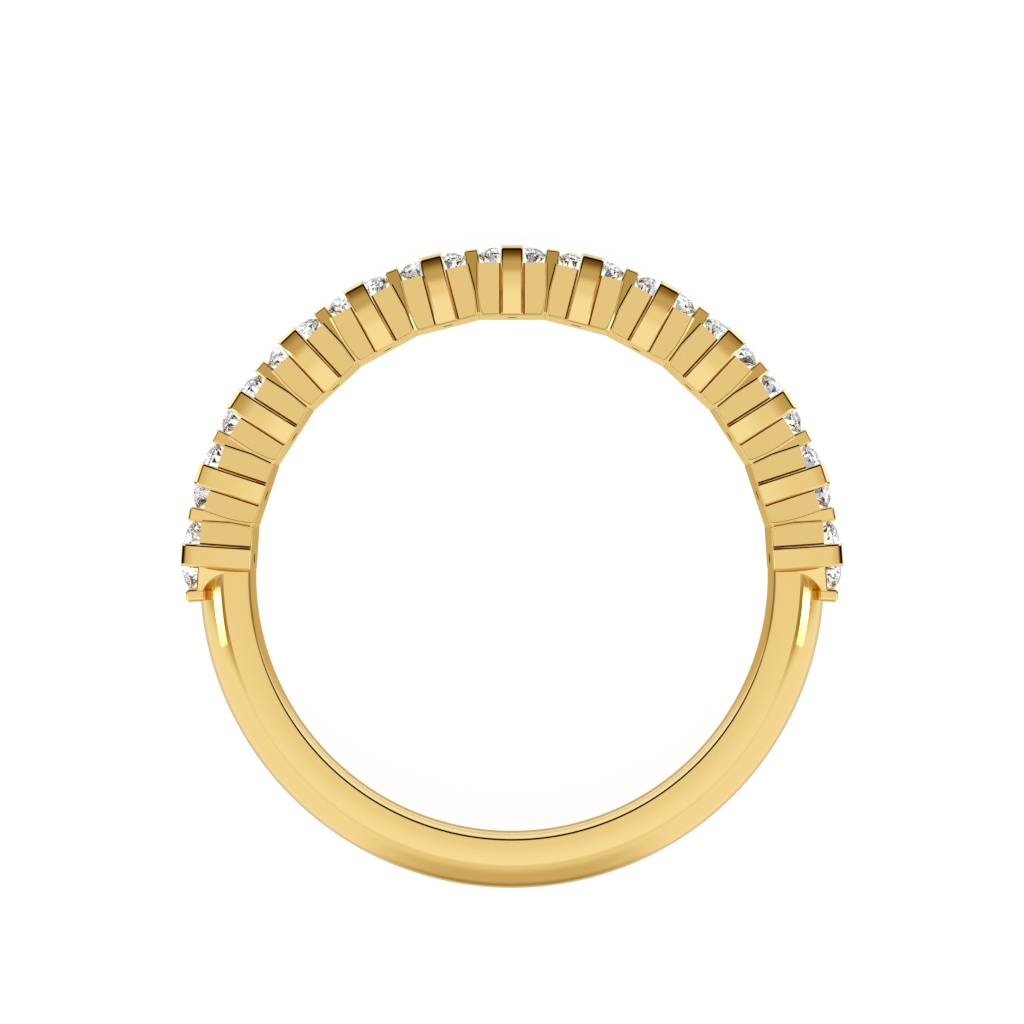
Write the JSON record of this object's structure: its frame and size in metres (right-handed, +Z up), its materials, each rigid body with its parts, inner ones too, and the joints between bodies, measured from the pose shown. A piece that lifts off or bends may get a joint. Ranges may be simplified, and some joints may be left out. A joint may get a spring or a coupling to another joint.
{
  "type": "diamond band ring",
  "caption": "Gold finger ring with a half row of round diamonds held by shared prongs and wide side bars, lying on its side.",
  "frame": {"origin": "on the axis of the finger hole, in the plane that the ring lies on", "axes": "+Z up along the finger hole, +Y towards the middle stone of the row, +X to the right"},
  "size_m": [0.022, 0.0214, 0.003],
  "materials": {
    "gold": "high polish yellow gold",
    "diamond": "polished colourless facets"
  },
  "bodies": {
    "root": {"band": "gold", "stone_01": "diamond", "stone_02": "diamond", "stone_03": "diamond", "stone_04": "diamond", "stone_05": "diamond", "stone_06": "diamond", "stone_07": "diamond", "stone_08": "diamond", "stone_09": "diamond", "stone_10": "diamond", "stone_11": "diamond", "stone_12": "diamond", "stone_13": "diamond"}
  },
  "joints": []
}
